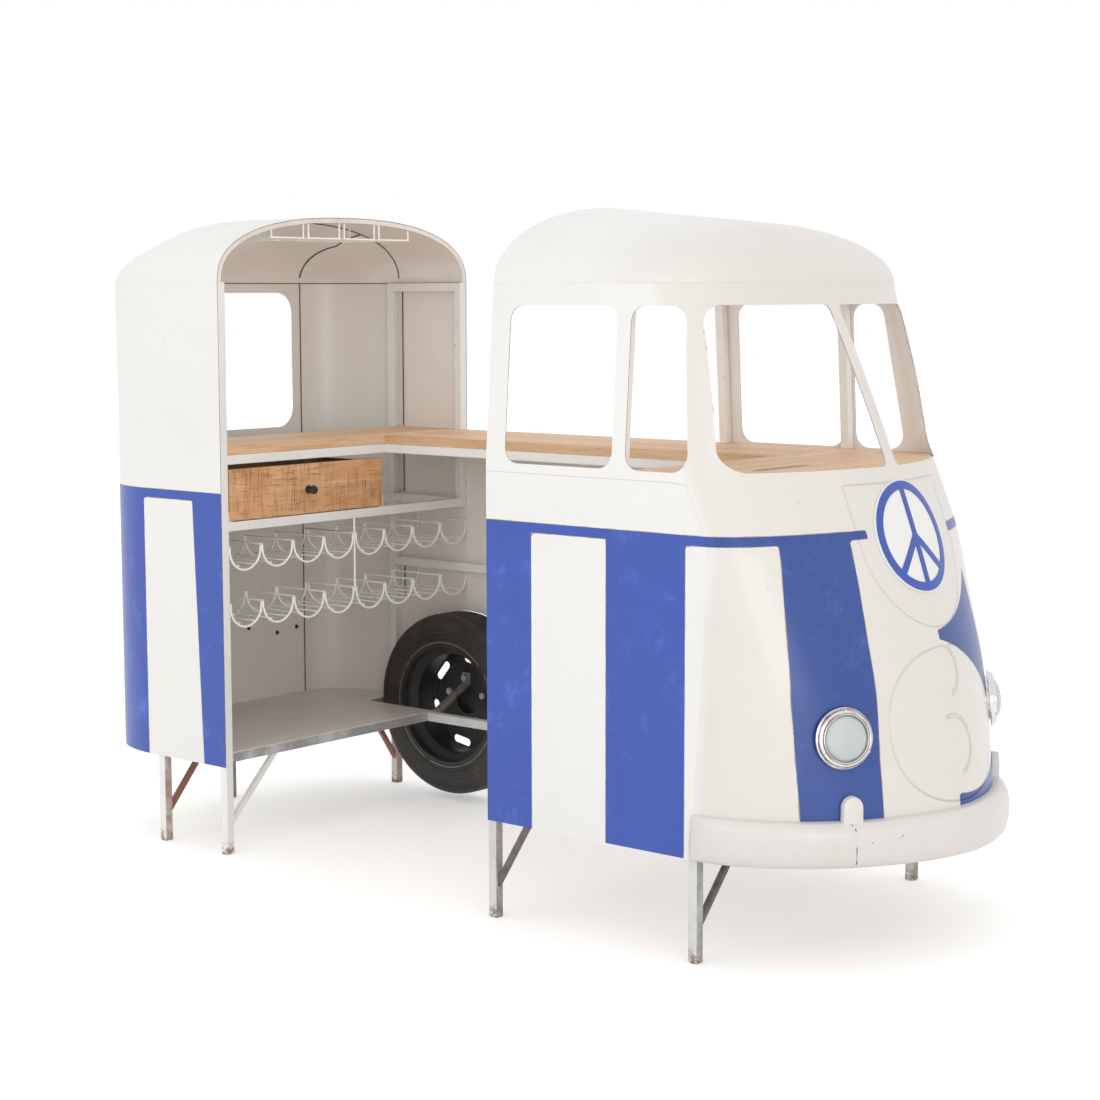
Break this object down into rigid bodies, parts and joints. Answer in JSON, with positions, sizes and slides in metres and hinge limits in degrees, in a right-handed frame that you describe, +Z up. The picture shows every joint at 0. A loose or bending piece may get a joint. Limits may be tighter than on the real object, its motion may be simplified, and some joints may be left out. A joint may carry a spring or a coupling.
{
  "type": "bar cabinet",
  "caption": "Walk-in bar cabinet shaped like an old camper van, with a tail unit of racks and a drawer, a long wooden counter and a rounded cab with a false wheel.",
  "frame": {"origin": "on the floor under the centre of the bar's bounding box", "axes": "+X along the van towards the nose, +Y towards the customer side with the wheel, +Z up"},
  "size_m": [2.5536, 1.0118, 1.713],
  "materials": {
    "frame_paint": "satin white paint",
    "body_paint": "gloss white paint with blue panels",
    "raw_steel": "bare welded steel",
    "counter_wood": "oiled solid wood",
    "drawer_wood": "rough sawn wood",
    "knob_black": "black",
    "rack_paint": "white painted wire",
    "tyre_rubber": "matt",
    "rim_paint": "satin black paint",
    "bumper_paint": "gloss white paint",
    "chrome": "polished",
    "bulb_glass": "clear",
    "lamp_glass": "clear",
    "emblem_white": "gloss white paint",
    "emblem_blue": "gloss blue paint"
  },
  "bodies": {
    "bar": {"tail_posts": "frame_paint", "rear_leg": "raw_steel", "tail_top_rails": "frame_paint", "base_rails": "frame_paint", "shelf_sheet": "body_paint", "mid_rail": "frame_paint", "tail_counter_rails": "frame_paint", "bar_counter_rails": "frame_paint", "side_rail": "frame_paint", "tail_near_sheet": "body_paint", "tail_rear_sheet": "body_paint", "tail_far_sheet": "body_paint", "tail_roof": "body_paint", "roof_hoop": "frame_paint", "rear_roof_sheet": "body_paint", "near_roof_gore": "body_paint", "far_roof_gore": "body_paint", "bar_side_sheet": "body_paint", "tail_counter": "counter_wood", "bar_counter": "counter_wood", "nose_counter": "counter_wood", "drawer_guides": "frame_paint", "upper_near_rack": "rack_paint", "upper_far_rack": "rack_paint", "lower_near_rack": "rack_paint", "lower_far_rack": "rack_paint", "rack_hanger": "rack_paint", "glass_rack": "rack_paint", "tyre": "tyre_rubber", "wheel_rim": "rim_paint", "wheel_nuts": "raw_steel", "wheel_bracket": "rim_paint", "cab_legs": "frame_paint", "cab_base_rails": "frame_paint", "cab_counter_rails": "frame_paint", "window_posts": "frame_paint", "cab_near_sheet": "body_paint", "cab_far_sheet": "body_paint", "nose_sheet": "body_paint", "windscreen_frame": "body_paint", "cab_roof": "body_paint", "leg_braces": "raw_steel", "bumper": "bumper_paint", "overriders": "bumper_paint", "headlight_bowls": "chrome", "headlight_bulbs": "bulb_glass", "headlight_glasses": "lamp_glass", "headlight_rings": "chrome", "headlight_screws": "chrome", "emblem_plate": "emblem_white", "emblem_figure": "emblem_blue"},
    "drawer": {"drawer_front": "drawer_wood", "drawer_box": "drawer_wood", "drawer_knob": "knob_black"}
  },
  "joints": [
    {"name": "drawer_slide", "type": "slide", "parent": "bar", "child": "drawer", "axis": [1, 0, 0], "range_m": [0, 0.3]}
  ]
}
